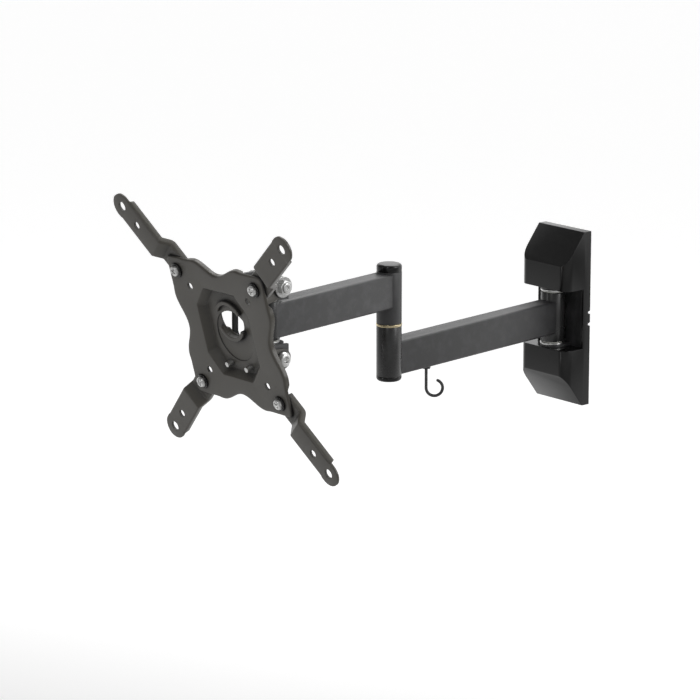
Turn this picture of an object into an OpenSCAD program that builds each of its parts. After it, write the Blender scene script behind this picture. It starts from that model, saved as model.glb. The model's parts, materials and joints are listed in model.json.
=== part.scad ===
// Full motion television wall mount: a covered wall plate, two box-section arms that fold at an elbow,
// a swivelling and tilting head, and a screen plate with four swing-out extension arms.
// Frame: the wall is the plane Y = 0 and the mount stands out towards -Y. +Z is up, X runs along the wall.
// Z = 0 is the middle of the rear arm and of the wall plate.

/* [Arms] */
// Distance from the wall pivot to the elbow
rear_reach = 219; // [180:1:260]
// Distance from the elbow to the head swivel
front_reach = 152; // [130:1:200]
// Height of the arm tube
tube_h = 30; // [28:0.5:32]
// Width of the arm tube
tube_w = 18; // [16:0.5:18]
// Outer corner radius of the arm tube
tube_corner = 2.2; // [1:0.1:3]
// Wall of the arm tube
tube_wall = 1.8; // [1.5:0.1:2.5]
// Swing of the rear arm from square to the wall, in the pose shown
arm_yaw = 7.3; // [-20:0.1:20]
// Swing of the front arm from square to the wall, in the pose shown
front_yaw = 9.2; // [-20:0.1:20]

/* [Pivots] */
// Outer radius of the wall pivot and elbow barrels
barrel_r = 10.8; // [10.6:0.1:11]
// Height of the elbow washer's middle above the rear arm's middle
elbow_z = 28.9; // [28.5:0.1:29.5]
// Height of the front arm's middle above the rear arm's middle
front_z = 58.9; // [58.5:0.1:60]
// Outer radius of the head swivel barrel
swivel_r = 9; // [8.5:0.1:9.5]

/* [Wall cover] */
// Width of the wall cover
cover_w = 59; // [58:0.5:64]
// Height of the wall cover
cover_h = 158; // [156:1:164]
// Depth of the two housings, from the wall
cover_d = 30.5; // [30:0.5:33]
// Depth of the tray that joins the housings, from the wall
tray_d = 8.3; // [8:0.1:8.6]
// Height of the opening between the housings
cover_gap = 54; // [53.6:0.1:56]
// Distance from the wall to the wall pivot's axis
pivot_d = 17.8; // [17.6:0.1:18.2]

/* [Screen plate] */
// Half width of the screen plate at its corners
plate_half = 61.5; // [61:0.1:62]
// Half width of the screen plate at the middle of each wavy edge
plate_waist = 53; // [52:0.5:54]
// Thickness of the screen plate
plate_t = 2.2; // [2:0.1:2.4]
// Depth of the pressed pocket's front face behind the plate's face
pocket_d = 6.5; // [6:0.1:6.6]
// Side of the small square hole pattern
vesa_small = 75; // [75]
// Side of the square pattern that the corner screws take
vesa_mid = 100; // [100]
// Side of the square pattern at the ends of the extension arms
vesa_large = 200; // [200]
// Tilt of the screen plate in the pose shown, top edge forward
tilt_rest = 15; // [10:1:15]
// Distance from the head swivel to the middle of the plate's face
head_reach = 42; // [42:0.1:43]
// Distance of the plate's middle below the front arm's middle
plate_drop = 7.7; // [7:0.1:8]
// Distance of each tilt bolt above or below the front arm's middle
bolt_rise = 30; // [30:0.1:30.5]

/* [Extension arms] */
// Width of an extension arm
ext_w = 22; // [21:0.5:22]
// Thickness of the extension arm sheet
ext_t = 2; // [1.8:0.1:2]
// Height of the arm's outer face in front of the plate's face
ext_proud = 4.9; // [4.5:0.1:5]
// Angle of the first extension arm in the pose shown; the other three stand on the diagonals
ext_angle = 40; // [0:1:90]

/* [Hidden] */

$fn = 48;
// overshoot that keeps a cut clear of the face it goes through
eps = 1;
// gap between faces that slide past each other
slip = 0.2;
// radial clearance of a pin in its bush
pin_play = 0.05;

// --- places of the joints ---
wall_pivot = [0, -pivot_d, 0];
function ahead(yaw) = [sin(yaw), -cos(yaw), 0];
elbow = wall_pivot + rear_reach * ahead(arm_yaw);
swivel = elbow + front_reach * ahead(front_yaw) + [0, 0, front_z];
plate_mid = swivel + [0, -head_reach, -plate_drop];
// tilt bolt and lock bolt seen in the plate's own frame: depth behind its face, height above its middle
bolt_top = [0, head_reach, plate_drop + bolt_rise];
bolt_low = [0, head_reach, plate_drop - bolt_rise];
tilt_depth = bolt_top[1] * cos(tilt_rest) + bolt_top[2] * sin(tilt_rest);
tilt_up = -bolt_top[1] * sin(tilt_rest) + bolt_top[2] * cos(tilt_rest);
lock_depth = bolt_low[1] * cos(tilt_rest) + bolt_low[2] * sin(tilt_rest);
lock_up = -bolt_low[1] * sin(tilt_rest) + bolt_low[2] * cos(tilt_rest);
// how far the head tilts back from the pose shown
tilt_travel = 15;

// inner corner radius of the arm tubes
tube_inner_corner = 1;

// --- wall pivot stack, heights from the rear arm's middle ---
wall_barrel_half = 22.3;
flange_t = 1;
bush_r = 6.5;
bush_flange_r = 9.2;
wall_sleeve = 12;
pivot_bolt_r = 4;
bush_bore = pivot_bolt_r + pin_play;
wall_washer_z = wall_barrel_half + flange_t + slip;
wall_washer_t = 1.5;
wall_washer_r = 11;
lug_z = wall_washer_z + wall_washer_t;
lug_t = 4;
lug_r = 11;
hex_head_t = 5.3;
hex_r = 7.5;
nut_t = 6.5;

// --- wall plate and its bracket ---
cover_t = 2.2;
plate_play = 0.15;
wall_plate_t = 3;
bracket_t = 3;
bracket_half_w = 26.5;
bracket_half_h = 44;
screw_half_x = 15;
screw_half_z = 58;
screw_hole_r = 3.5;
rivet_x = 20;
rivet_z = 38;
rivet_r = 2.5;
rivet_head_r = 4.2;
rivet_head_t = 1.6;
front_corner = 8.5;
fold_z = 50;
notch_z = 5.4;
notch_w = 3.2;
notch_d = 4.4;
slope_shift = 0.35;
lug_play = 0.4;
bolt_end = 1;

// --- elbow stack ---
ring_t = 2;
ring_r = 11.1;
elbow_bore = 7.5;
elbow_pin_r = 5;
elbow_bush_h = 12;
nut_bay_r = 9.2;
nut_bay_h = 9;
low_barrel_bottom = -15.5;
up_barrel_bottom = elbow_z + ring_t / 2 + slip;
up_barrel_top = front_z + tube_h / 2 + 1.1;
cap_t = 6.4;
low_cap_t = 4.3;
cap_round = 2.4;
cap_gap = 0.4;
cap_skirt = 3;
cap_skirt_t = 2.2;
pin_seat = 26;
retainer_t = 1.6;
retainer_r = 8.7;
elbow_nut_r = 8.4;
elbow_nut_t = 3;

// --- cable hook under the rear arm ---
hook_at = 48;
hook_wire_r = 1.3;
hook_r = 7.1;
hook_drop = 20.4;
hook_curl = 66;
hook_turn = -47.5;
hook_nut_r = 4;
hook_nut_t = 3.2;

// --- head swivel stack, heights from the front arm's middle ---
swivel_half = 16.2;
swivel_bore = 6;
swivel_flange_r = 7.8;
swivel_sleeve = 9;
swivel_pin_r = 4;
swivel_washer_t = 1.2;
swivel_washer_r = 8.6;
web_z = swivel_half + flange_t + slip + swivel_washer_t;
web_t = 3;
cheek_in = 12;
cheek_t = 3;
cheek_out = cheek_in + cheek_t;
ear_r = 8.5;
strip_near = 22.2;
strip_far = 26.5;
low_front = 21.2;
slant_from = -8;
slant_end = 4;
swivel_head_t = 2;
swivel_nut_t = 4;
swivel_tail = 3.6;
swivel_hex_r = 6.6;

// --- tilt bracket ---
ear_gap = 0.3;
ear_in = cheek_out + ear_gap;
ear_t = 2.5;
ear_out = ear_in + ear_t;
floor_t = 2.2;
web_front = pocket_d + floor_t;
bracket_web_t = 2.5;
web_back = web_front + bracket_web_t;
web_top = 32;
web_low = -33;
ear_low = 18;
ear_high = -15;
window_z = 11.3;
window_r = 14.3;
window_play = 0.6;
// height of the bracket's opening beside the window
side_cut = 20;
tilt_bolt_r = 4;
tilt_washer_r = 8.6;
tilt_washer_t = 1.6;
tilt_nut_r = 6.2;
tilt_nut_t = 3.6;
bolt_tail = 2.4;
lock_head_r = 6.3;
lock_head_t = 4.8;
lock_edge_r = 3.2;
lock_nut_t = 5;
lock_nut_r = 5.8;
dimple_r = 2.2;
dimple_d = 2;
slot_play = 0.3;
slot_steps = 8;
lock_bolt_r = 3;
stud_x = 12.5;
stud_z = -28.3;
stud_r = 2.2;
stud_out = 5.8;
stud_head_r = 2.75;
stud_head_t = 1.2;

// --- screen plate outline, pocket and window ---
plate_corner = 4;
hump_at = 28;
wave_steps = 12;
rim_t = 2;
rim_d = 5;
rim_end = 35.5;
pocket_half_x = 33.6;
pocket_top = 39.6;
pocket_low = -38;
pocket_chamfer = 15.5;
chamfer_shrink = 0.4;
pocket_skin = 0.01;
pocket_draft = 4.8;
pocket_wall = 1.6;
dish_r = 22;
dish_z = -2.6;
dish_d = 0.8;
collar_r = 17.3;
collar_h = 3;
collar_bite = 0.4;
collar_span = 128;
small_hole_r = 3;
corner_hole_r = 2.75;

// --- corner screws ---
corner_r = 2.5;
corner_pad_r = 6.2;
corner_pad_t = 1.5;
corner_head_r = 4.6;
corner_head_t = 3;
corner_nut_r = 4.7;
corner_nut_t = 4;
recess_l = 5;
recess_w = 1.3;
recess_d = 1.4;

// --- extension arms, lengths from the corner screw ---
ext_back = plate_t + 0.3;
joggle_from = 17.5;
joggle_to = 24.5;
joggle_lean = 0.4;
ext_inner_hole = vesa_mid / 2;
ext_outer_hole = (vesa_large - vesa_mid) / 2 * sqrt(2);
ext_inner_hole_r = 3.2;
ext_outer_hole_r = 4;
ext_flange_d = 5.5;
ext_flange_end = ext_outer_hole - 4;

steel_black = [0.27, 0.27, 0.27];
sheet_black = [0.33, 0.31, 0.29];
gloss_black = [0.12, 0.12, 0.12];
zinc = [0.82, 0.82, 0.80];
brass = [0.80, 0.65, 0.35];
nylon = [0.85, 0.85, 0.80];

// --- helpers ---

// moves children to an arm's own frame: origin on its far joint, +Y back along the arm
module along_arm(at, yaw) {
    translate(at)
        rotate([0, 0, yaw])
            children();
}

// moves children to the screen plate's own frame: face at Y = 0, +Y behind it
module on_plate() {
    translate(plate_mid)
        rotate([tilt_rest, 0, 0])
            children();
}

// moves children to the head swivel: origin on its axis at the front arm's middle height
module on_swivel() {
    translate(swivel)
        children();
}

// lays an outline drawn in X and Z flat against the XZ plane, from depth y0 to y1 behind it
module slab(y0, y1) {
    translate([0, y1, 0])
        rotate([90, 0, 0])
            linear_extrude(y1 - y0)
                children();
}

// lays an outline drawn in Y and Z across X, from x0 to x1
module across(x0, x1) {
    translate([x0, 0, 0])
        rotate([90, 0, 90])
            linear_extrude(x1 - x0)
                children();
}

// round bar along X
module bar_x(r, x0, x1) {
    translate([x0, 0, 0])
        rotate([0, 90, 0])
            cylinder(r = r, h = x1 - x0);
}

// round bar along Y
module bar_y(r, y0, y1) {
    translate([0, y0, 0])
        rotate([-90, 0, 0])
            cylinder(r = r, h = y1 - y0);
}

// round bar along Z
module bar_z(r, z0, z1) {
    translate([0, 0, z0])
        cylinder(r = r, h = z1 - z0);
}

// ring around Z
module ring_z(r_out, r_in, z0, z1) {
    difference() {
        bar_z(r_out, z0, z1);
        bar_z(r_in, z0 - eps, z1 + eps);
    }
}

// hexagon bar along Z
module hex_z(r, z0, z1) {
    translate([0, 0, z0])
        cylinder(r = r, h = z1 - z0, $fn = 6);
}

// square-cornered core with four corner rods: a box-section bar along Y with true round corners
module box_bar(w, h, r, y0, y1) {
    slab(y0, y1) {
        square([w - 2 * r, h], center = true);
        square([w, h - 2 * r], center = true);
        for (x = [-1, 1], z = [-1, 1])
            translate([x * (w / 2 - r), z * (h / 2 - r)])
                circle(r);
    }
}

// one arm tube between two barrels, open inside; barrels cut its ends to their own curve
module arm_tube(reach, front_r, back_r) {
    inner_w = tube_w - 2 * tube_wall;
    inner_h = tube_h - 2 * tube_wall;
    difference() {
        box_bar(tube_w, tube_h, tube_corner, 0, reach);
        box_bar(inner_w, inner_h, tube_inner_corner, -eps, reach + eps);
        bar_z(front_r, -tube_h, tube_h);
        translate([0, reach, 0])
            bar_z(back_r, -tube_h, tube_h);
    }
}

// points of one arc
function arc(cx, cy, r, a0, a1, n) = [
    for (i = [0:n])
        [cx + r * cos(a0 + (a1 - a0) * i / n), cy + r * sin(a0 + (a1 - a0) * i / n)]
];

// --- wall side ---

// rear plate that takes the wall screws
module wall_plate() {
    half_w = cover_w / 2 - cover_t - plate_play;
    half_h = cover_h / 2 - cover_t - plate_play;
    color(steel_black)
        difference() {
            translate([-half_w, -wall_plate_t, -half_h])
                cube([2 * half_w, wall_plate_t, 2 * half_h]);
            for (x = [-1, 1], z = [-1, 1]) {
                translate([x * screw_half_x, 0, z * screw_half_z])
                    bar_y(screw_hole_r, -wall_plate_t - eps, eps);
                translate([x * rivet_x, 0, z * rivet_z])
                    bar_y(rivet_r, -wall_plate_t - eps, eps);
            }
        }
}

// outline of one pivot lug, in X and Y
module lug_outline() {
    translate([-lug_r, -pivot_d])
        square([2 * lug_r, pivot_d - wall_plate_t]);
    translate([0, -pivot_d])
        circle(lug_r);
}

// folded bracket whose two lugs hold the wall pivot bolt
module pivot_bracket() {
    color(steel_black)
        difference() {
            union() {
                translate([-bracket_half_w, -wall_plate_t - bracket_t, -bracket_half_h])
                    cube([2 * bracket_half_w, bracket_t, 2 * bracket_half_h]);
                for (z = [lug_z, -lug_z - lug_t])
                    translate([0, 0, z])
                        linear_extrude(lug_t)
                            lug_outline();
            }
            translate(wall_pivot)
                bar_z(pivot_bolt_r, -lug_z - lug_t - eps, lug_z + lug_t + eps);
            for (x = [-1, 1], z = [-1, 1])
                translate([x * rivet_x, 0, z * rivet_z])
                    bar_y(rivet_r, -wall_plate_t - bracket_t - eps, 0);
        }
}

// four rivets that join the bracket to the wall plate
module bracket_rivets() {
    back = -wall_plate_t - bracket_t;
    color(zinc)
        for (x = [-1, 1], z = [-1, 1])
            translate([x * rivet_x, 0, z * rivet_z]) {
                bar_y(rivet_r, back, 0);
                bar_y(rivet_head_r, back - rivet_head_t, back);
            }
}

// side profile of the cover's two housings, in Y and Z, taken in by t all round
module housing_profile(t) {
    top = cover_h / 2 - t;
    front = -cover_d + t;
    shift = t * slope_shift;
    for (side = [1, -1])
        polygon([
            [eps, side * (cover_gap / 2 + t)],
            [eps, side * top],
            [-tray_d + shift, side * top],
            [front, side * (fold_z - shift)],
            [front, side * (cover_gap / 2 + t)]
        ]);
}

// plan outline of the cover, in X and Y, taken in by t, with round front corners
module cover_plan(t) {
    half = cover_w / 2 - t;
    front = -cover_d + t;
    r = front_corner - t;
    translate([-half, front + r])
        square([2 * half, -front - r + eps]);
    translate([-half + r, front])
        square([2 * (half - r), r + eps]);
    for (side = [1, -1])
        translate([side * (half - r), front + r])
            circle(r);
}

// solid form of the cover, taken in by t
module cover_form(t) {
    intersection() {
        across(-cover_w, cover_w)
            housing_profile(t);
        translate([0, 0, -cover_h])
            linear_extrude(2 * cover_h)
                cover_plan(t);
    }
}

// glossy snap-on cover: two sloping housings joined by a shallow tray
module wall_cover() {
    half_w = cover_w / 2;
    window = cover_gap / 2 + cover_t;
    color(gloss_black)
        difference() {
            union() {
                cover_form(0);
                translate([-half_w, -tray_d, -cover_gap])
                    cube([cover_w, tray_d, 2 * cover_gap]);
            }
            cover_form(cover_t);
            translate([-half_w + cover_t, -tray_d - eps, -cover_gap / 2])
                cube([cover_w - 2 * cover_t, tray_d + 2 * eps, cover_gap]);
            translate([-half_w + cover_t, -wall_plate_t - plate_play, -window - eps])
                cube([cover_w - 2 * cover_t, wall_plate_t + plate_play + eps, 2 * (window + eps)]);
            translate([-lug_r - lug_play, -pivot_d, -window - eps])
                cube([2 * (lug_r + lug_play), pivot_d, 2 * (window + eps)]);
            translate([-bracket_half_w - lug_play, -wall_plate_t - bracket_t - lug_play, -window - eps])
                cube([2 * (bracket_half_w + lug_play), bracket_t + wall_plate_t, 2 * (window + eps)]);
            translate(wall_pivot)
                bar_z(lug_r + lug_play, -window - eps, window + eps);
            translate([-cover_w, 0, -cover_h])
                cube([2 * cover_w, 2 * eps, 2 * cover_h]);
            for (side = [1, -1])
                across(-cover_w, cover_w)
                    polygon([
                        [0, side * (notch_z - notch_w / 2)],
                        [eps, side * (notch_z - notch_w / 2)],
                        [eps, side * (notch_z + notch_w / 2)],
                        [0, side * (notch_z + notch_w / 2)],
                        [-notch_d, side * notch_z]
                    ]);
        }
}

// bolt through both lugs and the arm's bushes
module wall_pivot_bolt() {
    color(zinc)
        translate(wall_pivot) {
            bar_z(pivot_bolt_r, -lug_z - lug_t - nut_t - bolt_end, lug_z + lug_t);
            hex_z(hex_r, lug_z + lug_t, lug_z + lug_t + hex_head_t);
        }
}

// lock nut under the lower lug
module wall_pivot_nut() {
    color(zinc)
        translate(wall_pivot)
            difference() {
                hex_z(hex_r, -lug_z - lug_t - nut_t, -lug_z - lug_t);
                bar_z(pivot_bolt_r, -lug_z - lug_t - nut_t - eps, -lug_z - lug_t + eps);
            }
}

// bright washers between the lugs and the arm's barrel
module wall_washers() {
    color(zinc)
        translate(wall_pivot)
            for (z = [wall_washer_z, -wall_washer_z - wall_washer_t])
                ring_z(wall_washer_r, pivot_bolt_r, z, z + wall_washer_t);
}

// --- rear arm ---

// box-section tube of the rear arm
module rear_arm_tube() {
    color(steel_black)
        along_arm(elbow, arm_yaw)
            arm_tube(rear_reach, barrel_r, barrel_r);
}

// barrel that turns on the wall pivot bolt
module wall_barrel() {
    color(steel_black)
        translate(wall_pivot)
            ring_z(barrel_r, bush_r, -wall_barrel_half, wall_barrel_half);
}

// one flanged bush: sleeve from z0 to z1 with its flange at z1
module flanged_bush(r, flange_r, bore, z0, z1) {
    up = z1 > z0 ? 1 : -1;
    difference() {
        union() {
            bar_z(r, min(z0, z1), max(z0, z1));
            bar_z(flange_r, min(z1, z1 + up * flange_t), max(z1, z1 + up * flange_t));
        }
        bar_z(bore, min(z0, z1) - 2 * eps, max(z0, z1) + 2 * eps);
    }
}

// two flanged bushes of the wall barrel
module wall_bushes() {
    color(nylon)
        translate(wall_pivot)
            for (side = [1, -1])
                flanged_bush(
                    bush_r, bush_flange_r, bush_bore,
                    side * (wall_barrel_half - wall_sleeve), side * wall_barrel_half
                );
}

// lower half of the elbow, welded to the rear arm
module lower_elbow_barrel() {
    color(steel_black)
        translate(elbow)
            ring_z(barrel_r, elbow_bore, low_barrel_bottom, elbow_z - ring_t / 2);
}

// round-edged plug cap: skirt inside the bore, dome outside, pointing up or down
module barrel_cap(z, t, bore, up) {
    translate([0, 0, z])
        mirror([0, 0, up > 0 ? 0 : 1])
            rotate_extrude() {
                round_head_profile(barrel_r, t, cap_round);
                translate([bore - cap_skirt_t, -cap_skirt])
                    square([cap_skirt_t, cap_skirt + eps]);
            }
}

// cap under the elbow
module lower_elbow_cap() {
    color(gloss_black)
        translate(elbow)
            barrel_cap(low_barrel_bottom, low_cap_t, elbow_bore, -1);
}

// stepped pin fixed in the lower barrel; its thin part is the elbow's axle
module elbow_pin() {
    shoulder = elbow_z - ring_t / 2;
    color(zinc)
        translate(elbow) {
            bar_z(elbow_bore, shoulder - pin_seat, shoulder);
            bar_z(elbow_pin_r, shoulder, up_barrel_top - cap_gap - cap_skirt);
        }
}

// nut and retaining washer at the top of the elbow pin, inside the upper barrel
module elbow_nut() {
    floor_z = up_barrel_top - nut_bay_h + slip;
    nut_top = floor_z + retainer_t + elbow_nut_t;
    color(zinc)
        translate(elbow)
            difference() {
                union() {
                    bar_z(retainer_r, floor_z, floor_z + retainer_t);
                    hex_z(elbow_nut_r, floor_z + retainer_t, nut_top);
                }
                bar_z(elbow_pin_r, floor_z - eps, nut_top + eps);
            }
}

// brass washer that shows as a ring at the elbow
module elbow_ring() {
    color(brass)
        translate(elbow)
            ring_z(ring_r, elbow_pin_r, elbow_z - ring_t / 2, elbow_z + ring_t / 2);
}

// open wire hook that holds the cable under the rear arm
module cable_hook() {
    top = -tube_h / 2;
    color(steel_black)
        along_arm(elbow, arm_yaw)
            translate([0, hook_at, 0])
                rotate([0, 0, hook_turn]) {
                    bar_z(hook_wire_r, top - hook_drop, top);
                    translate([0, hook_r, top - hook_drop])
                        rotate([90, 0, 90])
                            rotate([0, 0, 180])
                                rotate_extrude(angle = 180 + hook_curl)
                                    translate([hook_r, 0])
                                        circle(hook_wire_r);
                }
}

// small nut that locks the hook against the tube
module hook_nut() {
    top = -tube_h / 2;
    color(steel_black)
        along_arm(elbow, arm_yaw)
            translate([0, hook_at, 0])
                difference() {
                    hex_z(hook_nut_r, top - hook_nut_t, top);
                    bar_z(hook_wire_r, top - hook_nut_t - eps, top + eps);
                }
}

// --- front arm ---

// box-section tube of the front arm
module front_arm_tube() {
    color(steel_black)
        along_arm(swivel, front_yaw)
            arm_tube(front_reach, swivel_r, barrel_r);
}

// upper half of the elbow, welded to the front arm
module upper_elbow_barrel() {
    color(steel_black)
        translate(elbow)
            difference() {
                bar_z(barrel_r, up_barrel_bottom, up_barrel_top);
                bar_z(elbow_bore, up_barrel_bottom - eps, up_barrel_top + eps);
                bar_z(nut_bay_r, up_barrel_top - nut_bay_h, up_barrel_top + eps);
            }
}

// glossy cap on top of the elbow
module upper_elbow_cap() {
    color(gloss_black)
        translate(elbow)
            barrel_cap(up_barrel_top, cap_t, nut_bay_r, 1);
}

// two plain bushes in the upper elbow barrel
module elbow_bushes() {
    bore = elbow_pin_r + pin_play;
    nut_floor = up_barrel_top - nut_bay_h;
    color(nylon)
        translate(elbow) {
            ring_z(elbow_bore, bore, up_barrel_bottom, up_barrel_bottom + elbow_bush_h);
            ring_z(elbow_bore, bore, nut_floor - elbow_bush_h, nut_floor);
        }
}

// barrel at the front arm's end that the head swivels on
module swivel_barrel() {
    color(steel_black)
        on_swivel()
            ring_z(swivel_r, swivel_bore, -swivel_half, swivel_half);
}

// two flanged bushes of the swivel barrel
module swivel_bushes() {
    color(nylon)
        on_swivel()
            for (side = [1, -1])
                flanged_bush(
                    swivel_bore, swivel_flange_r, swivel_pin_r + pin_play,
                    side * (swivel_half - swivel_sleeve), side * swivel_half
                );
}

// --- head: swivel yoke ---

// curved slot of the lock bolt, in Y and Z, around the tilt bolt
module tilt_slot() {
    r = lock_bolt_r + slot_play;
    path = 2 * bolt_rise;
    from = -90;
    to = -90 - tilt_travel;
    translate([0, bolt_rise]) {
        polygon(concat(
            arc(0, 0, path + r, from, to, slot_steps),
            arc(0, 0, path - r, to, from, slot_steps)
        ));
        for (a = [from, to])
            translate([path * cos(a), path * sin(a)])
                circle(r);
    }
}

// outline of one cheek of the yoke, in Y and Z
module cheek_outline() {
    difference() {
        union() {
            for (side = [1, -1])
                translate([0, side * bolt_rise])
                    circle(ear_r);
            for (z = [web_z, -bolt_rise])
                translate([0, z])
                    square([ear_r, bolt_rise - web_z]);
            polygon([
                [0, bolt_rise + ear_r], [-strip_far, bolt_rise + ear_r], [-strip_far, slant_from],
                [-low_front, -web_z - web_t], [-low_front, -bolt_rise - ear_r], [0, -bolt_rise - ear_r],
                [0, -web_z], [slant_end - strip_near, -web_z], [-strip_near, slant_from],
                [-strip_near, web_z], [0, web_z]
            ]);
        }
        translate([0, bolt_rise])
            circle(tilt_bolt_r);
        tilt_slot();
    }
}

// outline of a web that holds the swivel pin, in X and Y, reaching forward by front
module web_outline(front) {
    translate([-cheek_in, -front])
        square([2 * cheek_in, front]);
    intersection() {
        circle(cheek_in);
        translate([-cheek_in, 0])
            square([2 * cheek_in, cheek_in]);
    }
}

// folded yoke: two cheeks joined by a web above and a web below the swivel barrel
module swivel_yoke() {
    color(steel_black)
        on_swivel()
            difference() {
                union() {
                    across(cheek_in, cheek_out)
                        cheek_outline();
                    across(-cheek_out, -cheek_in)
                        cheek_outline();
                    translate([0, 0, web_z])
                        linear_extrude(web_t)
                            web_outline(strip_far);
                    translate([0, 0, -web_z - web_t])
                        linear_extrude(web_t)
                            web_outline(low_front);
                }
                bar_z(swivel_pin_r, -web_z - web_t - eps, web_z + web_t + eps);
            }
}

// head swivel pin with its head on the lower web
module swivel_pin() {
    low = -web_z - web_t;
    color(zinc)
        on_swivel() {
            bar_z(swivel_pin_r, low, web_z + web_t + swivel_tail);
            bar_z(swivel_hex_r, low - swivel_head_t, low);
        }
}

// nut of the swivel pin on the upper web
module swivel_nut() {
    low = web_z + web_t;
    color(zinc)
        on_swivel()
            difference() {
                hex_z(swivel_hex_r, low, low + swivel_nut_t);
                bar_z(swivel_pin_r, low - eps, low + swivel_nut_t + eps);
            }
}

// bright washers above and below the swivel barrel
module swivel_washers() {
    low = web_z - swivel_washer_t;
    color(zinc)
        on_swivel()
            for (z = [low, -web_z])
                ring_z(swivel_washer_r, swivel_pin_r, z, z + swivel_washer_t);
}

// --- head: tilt ---

// upper bolt, the tilt axis, with its hexagon head on the -X side
module tilt_bolt() {
    side = ear_out + slip;
    color(zinc)
        on_swivel()
            translate([0, 0, bolt_rise]) {
                bar_x(tilt_bolt_r, -side, side + tilt_washer_t + tilt_nut_t + bolt_end);
                rotate([0, -90, 0])
                    hex_z(hex_r, side, side + hex_head_t);
            }
}

// wide washer under the tilt nut
module tilt_washer() {
    side = ear_out + slip;
    color(zinc)
        on_swivel()
            translate([0, 0, bolt_rise])
                rotate([0, 90, 0])
                    ring_z(tilt_washer_r, tilt_bolt_r, side, side + tilt_washer_t);
}

// nut that sets the tilt friction
module tilt_nut() {
    face = ear_out + slip + tilt_washer_t;
    color(zinc)
        on_swivel()
            translate([0, 0, bolt_rise])
                rotate([0, 90, 0])
                    difference() {
                        hex_z(tilt_nut_r, face, face + tilt_nut_t);
                        bar_z(tilt_bolt_r, face - eps, face + tilt_nut_t + eps);
                    }
}

// outline of one ear pair, in the plate's depth and height
module ear_outline() {
    difference() {
        union() {
            hull() {
                translate([web_front, ear_low])
                    square([bracket_web_t, web_top - ear_low]);
                translate([tilt_depth, tilt_up])
                    circle(ear_r);
            }
            hull() {
                translate([web_front, web_low])
                    square([bracket_web_t, ear_high - web_low]);
                translate([lock_depth, lock_up])
                    circle(ear_r);
            }
            translate([web_front, web_low])
                square([bracket_web_t, web_top - web_low]);
        }
        translate([tilt_depth, tilt_up])
            circle(tilt_bolt_r + pin_play);
        translate([lock_depth, lock_up])
            circle(lock_bolt_r);
    }
}

// bracket screwed behind the pocket, with two ears for the tilt bolt and two for the lock bolt
module tilt_bracket() {
    color(sheet_black)
        on_plate()
            difference() {
                union() {
                    across(ear_in, ear_out)
                        ear_outline();
                    across(-ear_out, -ear_in)
                        ear_outline();
                    translate([-ear_in, web_front, web_low])
                        cube([2 * ear_in, bracket_web_t, web_top - web_low]);
                }
                translate([0, 0, window_z])
                    bar_y(window_r + window_play, 0, 2 * web_back);
                translate([-ear_out - eps, 0, window_z - side_cut / 2])
                    cube([ear_out + eps, web_back + eps, side_cut]);
                for (x = [-1, 1])
                    translate([x * stud_x, 0, stud_z])
                        bar_y(stud_r, 0, web_back + eps);
            }
}

// half profile of a round-edged head, from its seat at height 0 up to t
module round_head_profile(r, t, edge_r) {
    square([r, t - edge_r]);
    square([r - edge_r, t]);
    intersection() {
        square([r, t]);
        translate([r - edge_r, t - edge_r])
            circle(edge_r);
    }
}

// lower bolt that slides in the yoke's slot and locks the tilt; round-edged head with a dimple
module lock_bolt() {
    color(zinc)
        on_plate()
            translate([0, lock_depth, lock_up]) {
                bar_x(lock_bolt_r, -ear_out - lock_nut_t - bolt_tail, ear_out);
                translate([ear_out, 0, 0])
                    rotate([0, 90, 0])
                        difference() {
                            rotate_extrude()
                                round_head_profile(lock_head_r, lock_head_t, lock_edge_r);
                            bar_z(dimple_r, lock_head_t - dimple_d, lock_head_t + eps);
                        }
            }
}

// nut of the lock bolt
module lock_nut() {
    color(zinc)
        on_plate()
            translate([0, lock_depth, lock_up])
                rotate([0, -90, 0])
                    difference() {
                        hex_z(lock_nut_r, ear_out, ear_out + lock_nut_t);
                        bar_z(lock_bolt_r, ear_out - eps, ear_out + lock_nut_t + eps);
                    }
}

// two screws that join the bracket to the plate from behind; their tips stand out in the pocket
module bracket_screws() {
    tip = pocket_d - stud_out;
    color(zinc)
        on_plate()
            for (x = [-1, 1])
                translate([x * stud_x, 0, stud_z]) {
                    bar_y(stud_r, tip, web_back);
                    bar_y(stud_head_r, web_back, web_back + stud_head_t);
                }
}

// --- screen plate ---

// one wavy edge: half width at position t along the edge, taken in by d
function edge(t, d) =
    let (w = plate_half - plate_waist)
    abs(t) >= hump_at ? plate_half - d
    : plate_half - d - w / 2 * (1 + cos(180 * t / hump_at));

// outline of the plate, taken in by d
function plate_points(d) = [
    for (side = [0:3])
        let (c = cos(90 * side), s = sin(90 * side))
        for (i = [0:2 * wave_steps])
            let (t = -hump_at + i * hump_at / wave_steps, e = edge(t, d))
            [c * e - s * t, s * e + c * t]
];

// plate outline with its four corner lobes
module plate_outline(d) {
    end = plate_half - d;
    polygon(plate_points(d));
    difference() {
        square(2 * end, center = true);
        for (side = [0:3])
            rotate(90 * side)
                translate([0, -hump_at])
                    square([2 * plate_half, 2 * hump_at]);
        for (x = [-1, 1], z = [-1, 1])
            translate([x * (end - plate_corner), z * (end - plate_corner)])
                scale([x, z])
                    square(plate_corner + eps);
    }
    for (x = [-1, 1], z = [-1, 1])
        translate([x * (end - plate_corner), z * (end - plate_corner)])
            circle(plate_corner);
}

// eight-sided pocket outline, taken in by d
module pocket_outline(d) {
    x = pocket_half_x - d;
    c = pocket_chamfer - d * chamfer_shrink;
    top = pocket_top - d;
    low = pocket_low + d;
    polygon([
        [x - c, top], [x, top - c], [x, low + c], [x - c, low],
        [c - x, low], [-x, low + c], [-x, top - c], [c - x, top]
    ]);
}

// tapered body of the pocket between two depths
module pocket_form(y0, y1, d0, d1) {
    hull() {
        slab(y0, y0 + pocket_skin)
            pocket_outline(d0);
        slab(y1 - pocket_skin, y1)
            pocket_outline(d1);
    }
}

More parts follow.
